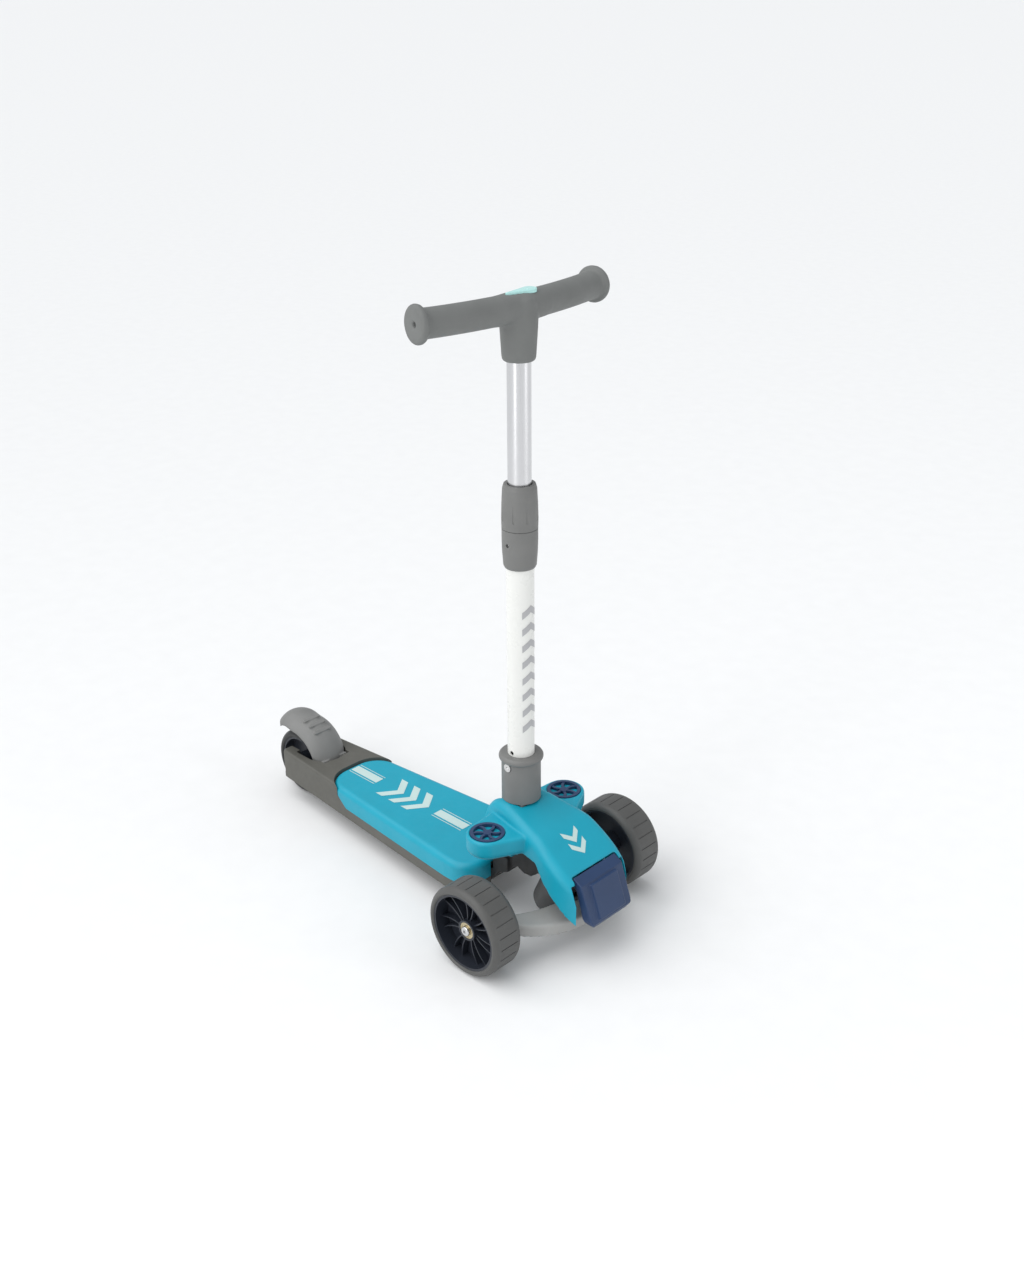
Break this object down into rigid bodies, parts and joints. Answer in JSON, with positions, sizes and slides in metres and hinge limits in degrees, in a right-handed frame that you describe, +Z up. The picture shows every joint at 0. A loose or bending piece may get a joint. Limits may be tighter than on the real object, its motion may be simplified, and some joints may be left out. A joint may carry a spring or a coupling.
{
  "type": "kick scooter",
  "caption": "Three-wheeled lean-to-steer children's kick scooter with a folding, height-adjustable T stem, ribbed foot pedal, wide deck and rear fender brake.",
  "frame": {"origin": "on the floor, under the middle of the bounding box", "axes": "+X forward, +Y to the rider's left, +Z up"},
  "size_m": [0.648, 0.3112, 0.8146],
  "materials": {
    "deck_grey": "warm dark grey moulded plastic, fine grain",
    "cover_blue": "bright cyan-blue moulded plastic, satin",
    "bracket_black": "black glass-filled nylon",
    "navy": "navy moulded plastic, satin",
    "drum_grey": "dark grey nylon",
    "bow_grey": "light grey glass-filled nylon, satin",
    "tyre_grey": "dark grey polyurethane",
    "hub_black": "black moulded rim",
    "rear_tyre_black": "black polyurethane",
    "bearing_steel": "ground bearing steel with a brass-coloured shield",
    "fastener_steel": "zinc-plated steel",
    "spring_steel": "spring steel",
    "fender_grey": "mid grey moulded plastic",
    "stem_grey": "mid grey moulded plastic",
    "tube_white": "white satin powder coat on steel tube",
    "tube_alu": "polished aluminium",
    "grip_grey": "soft-touch grey rubber moulding",
    "mint": "pale mint inlay",
    "decal_mint": "printed pale mint-grey graphics",
    "decal_grey": "printed grey graphics",
    "rubber_black": "rubber",
    "nylon_white": "natural nylon"
  },
  "bodies": {
    "chassis": {"deck_base": "deck_grey", "deck_cover": "cover_blue", "deck_screws": "fastener_steel", "rear_axle_bolt": "fastener_steel", "rear_axle_nut": "fastener_steel", "rear_axle_spacers": "fastener_steel", "brake_pin": "fastener_steel", "brake_spring": "spring_steel", "neck_bracket": "bracket_black", "bracket_bolts": "fastener_steel", "fold_pin": "fastener_steel", "kingpin_bolt": "fastener_steel", "kingpin_nut": "fastener_steel", "steering_bushing": "rubber_black", "front_housing": "cover_blue", "housing_screws": "fastener_steel", "fan_cap_left": "navy", "fan_cap_right": "navy", "pedal_pin": "fastener_steel", "pedal_spring": "spring_steel"},
    "truck": {"steering_drum": "drum_grey", "axle_bracket": "bow_grey", "front_axle_bolts": "fastener_steel", "front_axle_nuts": "fastener_steel", "front_axle_spacers": "fastener_steel"},
    "left_wheel": {"left_tyre": "tyre_grey", "left_hub": "hub_black", "left_bearings": "bearing_steel", "left_hub_spacer": "fastener_steel"},
    "right_wheel": {"right_tyre": "tyre_grey", "right_hub": "hub_black", "right_bearings": "bearing_steel", "right_hub_spacer": "fastener_steel"},
    "rear_wheel": {"rear_tyre": "rear_tyre_black", "rear_hub": "hub_black", "rear_bearings": "bearing_steel", "rear_hub_spacer": "fastener_steel"},
    "brake": {"brake_fender": "fender_grey"},
    "stem": {"stem_socket": "stem_grey", "socket_bolt": "fastener_steel", "socket_nut": "fastener_steel", "outer_tube": "tube_white", "tube_bush": "nylon_white", "lower_collar": "stem_grey", "collar_screw": "fastener_steel", "guide_collet": "nylon_white"},
    "collar": {"twist_collar": "stem_grey"},
    "upper": {"inner_tube": "tube_alu", "inner_tube_plug": "nylon_white", "t_handlebar": "grip_grey", "bar_inlay": "mint", "handlebar_screw": "fastener_steel"},
    "pedal": {"release_pedal": "navy"},
    "latch": {"latch_bolt": "fastener_steel"}
  },
  "joints": [
    {"name": "lean_steer", "type": "hinge", "parent": "chassis", "child": "truck", "pos_m": [0.233, 0, 0.055], "axis": [0.4067, 0, 0.9135], "range_deg": [-12, 12], "stiffness_Nm_per_rad": 45},
    {"name": "left_wheel_spin", "type": "hinge", "parent": "truck", "child": "left_wheel", "pos_m": [0.213, 0.1326, 0.06], "axis": [0, 1, 0], "continuous": true},
    {"name": "right_wheel_spin", "type": "hinge", "parent": "truck", "child": "right_wheel", "pos_m": [0.213, -0.1326, 0.06], "axis": [0, 1, 0], "continuous": true},
    {"name": "rear_wheel_spin", "type": "hinge", "parent": "chassis", "child": "rear_wheel", "pos_m": [-0.274, 0, 0.05], "axis": [0, 1, 0], "continuous": true},
    {"name": "foot_brake", "type": "hinge", "parent": "chassis", "child": "brake", "pos_m": [-0.216, 0, 0.06], "axis": [0, -1, 0], "range_deg": [0, 6], "stiffness_Nm_per_rad": 3, "springref_deg": -17.19},
    {"name": "stem_fold", "type": "hinge", "parent": "chassis", "child": "stem", "pos_m": [0.166, 0, 0.105], "axis": [0, -1, 0], "range_deg": [0, 84]},
    {"name": "height_slide", "type": "slide", "parent": "stem", "child": "upper", "axis": [0, 0, 1], "range_m": [-0.135, 0.04]},
    {"name": "collar_twist", "type": "hinge", "parent": "stem", "child": "collar", "pos_m": [0.166, 0, 0.56], "axis": [0, 0, 1], "range_deg": [0, 60]},
    {"name": "pedal_press", "type": "hinge", "parent": "chassis", "child": "pedal", "pos_m": [0.279, 0, 0.103], "axis": [0, 1, 0], "range_deg": [0, 12], "stiffness_Nm_per_rad": 2, "springref_deg": -20.05},
    {"name": "latch_draw", "type": "slide", "parent": "chassis", "child": "latch", "axis": [1, 0, 0], "range_m": [0, 0.005]}
  ],
  "couplings": [
    {"joint": "latch_draw", "follows": "pedal_press", "m_per_rad": 0.023}
  ]
}
